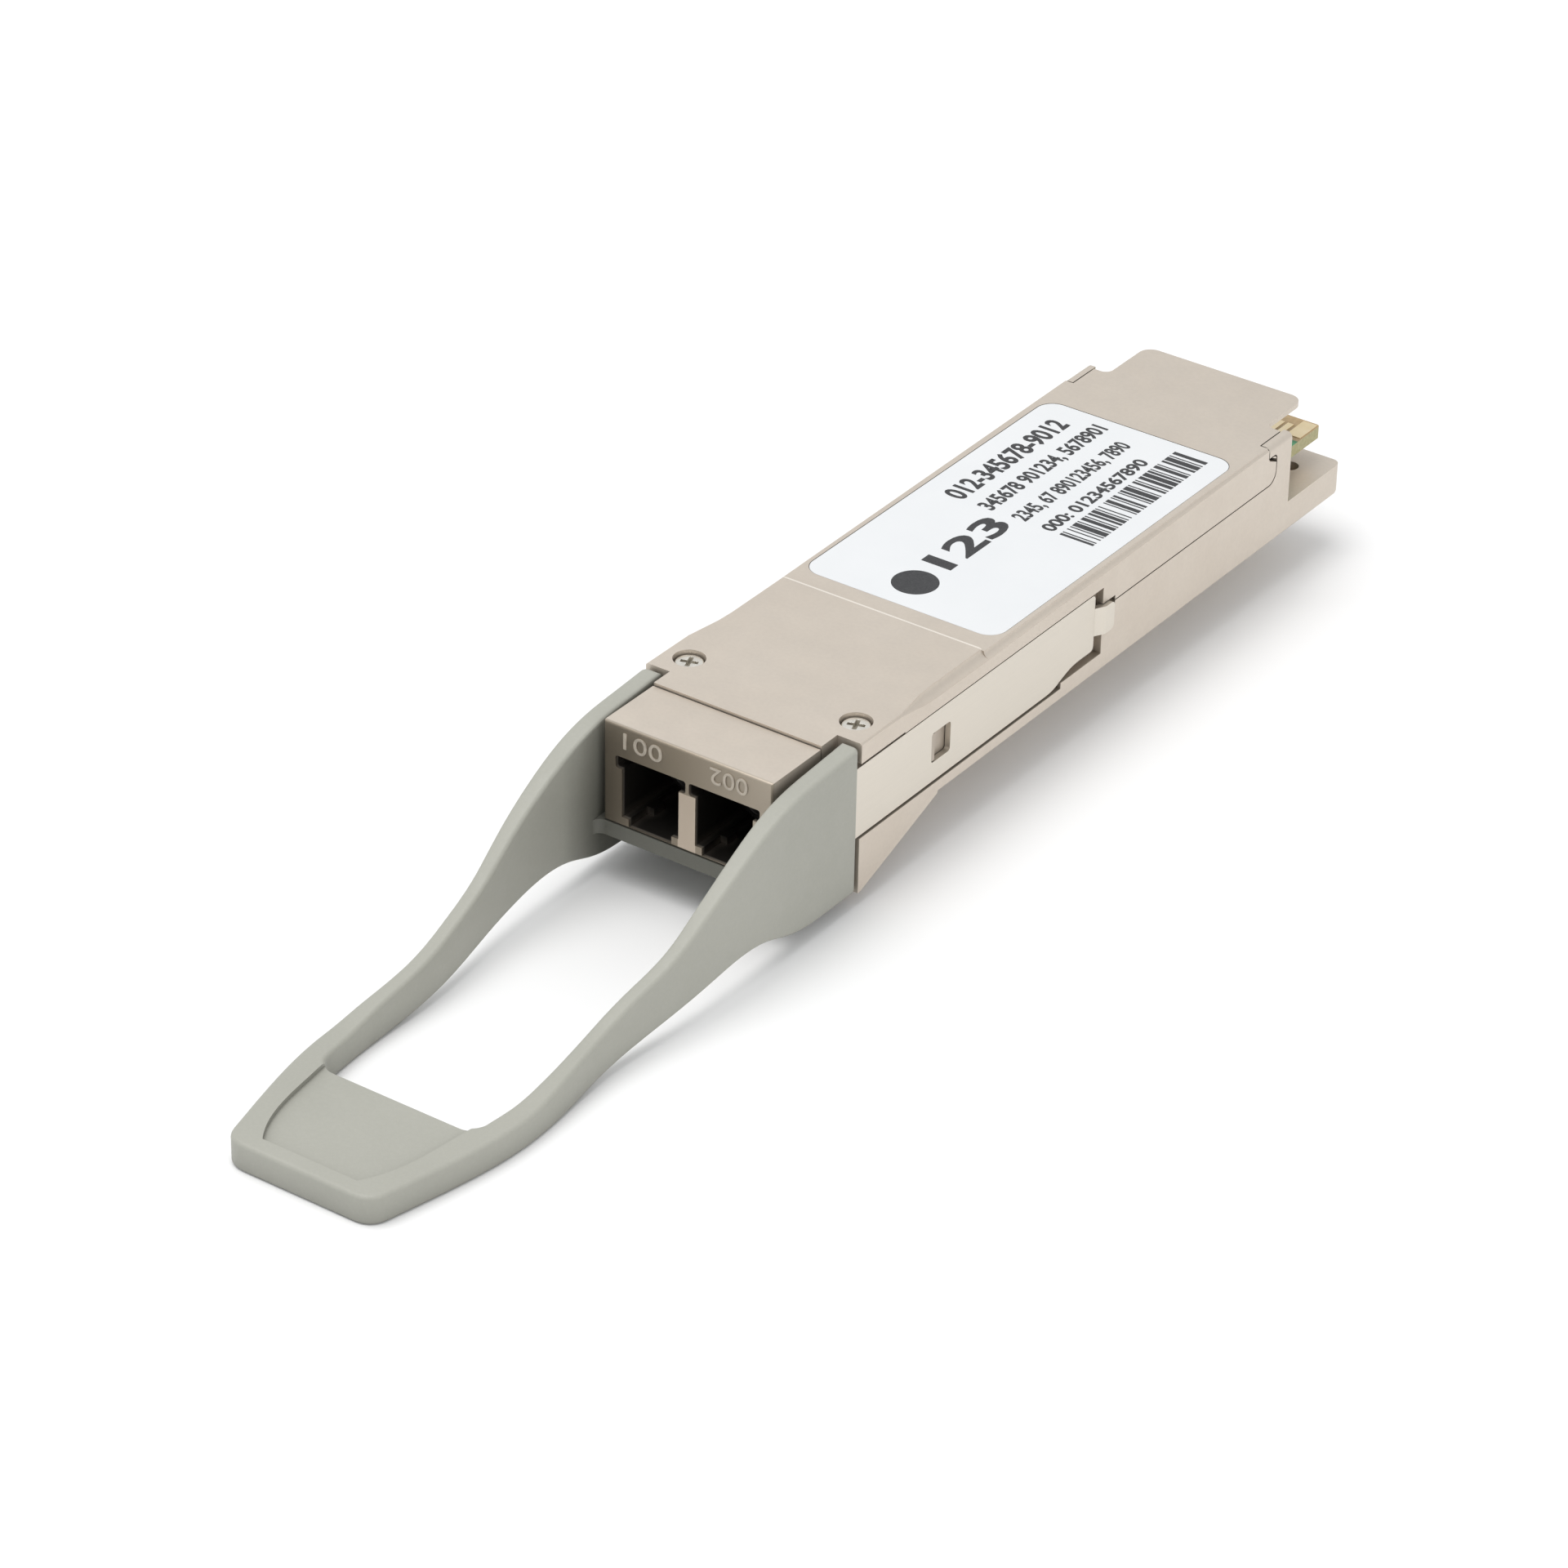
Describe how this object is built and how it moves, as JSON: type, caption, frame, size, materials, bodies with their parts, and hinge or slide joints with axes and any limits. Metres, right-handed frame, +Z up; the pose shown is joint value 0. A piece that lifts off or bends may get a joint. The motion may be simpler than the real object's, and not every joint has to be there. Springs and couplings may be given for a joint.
{
  "type": "optical transceiver module",
  "caption": "Pluggable optical transceiver with a two-port fibre receptacle, an edge connector and a spring-returned pull tab that releases the latch.",
  "frame": {"origin": "middle of the nose's front face at the height of the case's underside: X = 0 is the middle plane, Y = 0 the front face, Z = 0 the underside", "axes": "+X to the right seen from the fibre ports, +Y from the fibre ports to the electrical end, which is the way it goes into the cage, +Z up, label side up"},
  "size_m": [0.019, 0.1148, 0.0132],
  "materials": {
    "housing_nickel": "satin nickel plating on die-cast zinc",
    "slider_steel": "satin stamped stainless sheet",
    "screw_nickel": "bright nickel plating",
    "tab_plastic": "fine-textured grey moulding",
    "label_film": "matte white printed film",
    "board_green": "green solder mask over glass laminate",
    "contact_gold": "polished gold plating",
    "chip_black": "matte moulding compound",
    "inductor_grey": "pressed iron powder",
    "capacitor_tan": "fired ceramic with tinned ends",
    "crystal_metal": "plated lid",
    "thermal_pad": "soft filled silicone",
    "gasket_rubber": "conductive silicone",
    "optics_steel": "turned and ground stainless",
    "zirconia": "polished white zirconia",
    "filter_glass": "coated glass",
    "can_gold": "gold-plated can",
    "flex_amber": "amber polyimide film",
    "spring_steel": "drawn spring wire"
  },
  "bodies": {
    "module": {"base_housing": "housing_nickel", "top_cover": "housing_nickel", "cover_screws": "screw_nickel", "product_label": "label_film", "circuit_board": "board_green", "contacts_top": "contact_gold", "contacts_bottom": "contact_gold", "retimer_chip": "chip_black", "laser_driver": "chip_black", "receiver_amplifier": "chip_black", "microcontroller": "chip_black", "power_inductors": "inductor_grey", "ceramic_capacitors": "capacitor_tan", "clock_crystal": "crystal_metal", "retimer_thermal_pad": "thermal_pad", "can_thermal_pad": "thermal_pad", "front_gasket": "gasket_rubber", "barrel_clamp": "optics_steel", "left_receptacle_barrel": "optics_steel", "right_receptacle_barrel": "optics_steel", "left_optics_body": "optics_steel", "right_optics_body": "optics_steel", "left_split_sleeve": "zirconia", "right_split_sleeve": "zirconia", "left_ferrule_stub": "zirconia", "right_ferrule_stub": "zirconia", "left_wavelength_filter": "filter_glass", "right_wavelength_filter": "filter_glass", "left_laser_can": "can_gold", "right_laser_can": "can_gold", "left_receiver_can": "can_gold", "right_receiver_can": "can_gold", "left_transmit_flex": "flex_amber", "right_transmit_flex": "flex_amber", "left_receive_flex": "flex_amber", "right_receive_flex": "flex_amber", "left_return_spring": "spring_steel", "right_return_spring": "spring_steel"},
    "release": {"latch_slider": "slider_steel", "pull_tab": "tab_plastic"}
  },
  "joints": [
    {"name": "release_slide", "type": "slide", "parent": "module", "child": "release", "axis": [0, -1, 0], "range_m": [0, 0.00145], "stiffness_N_per_m": 400, "springref_m": -0.002, "deforming": ["left_return_spring", "right_return_spring"]}
  ]
}
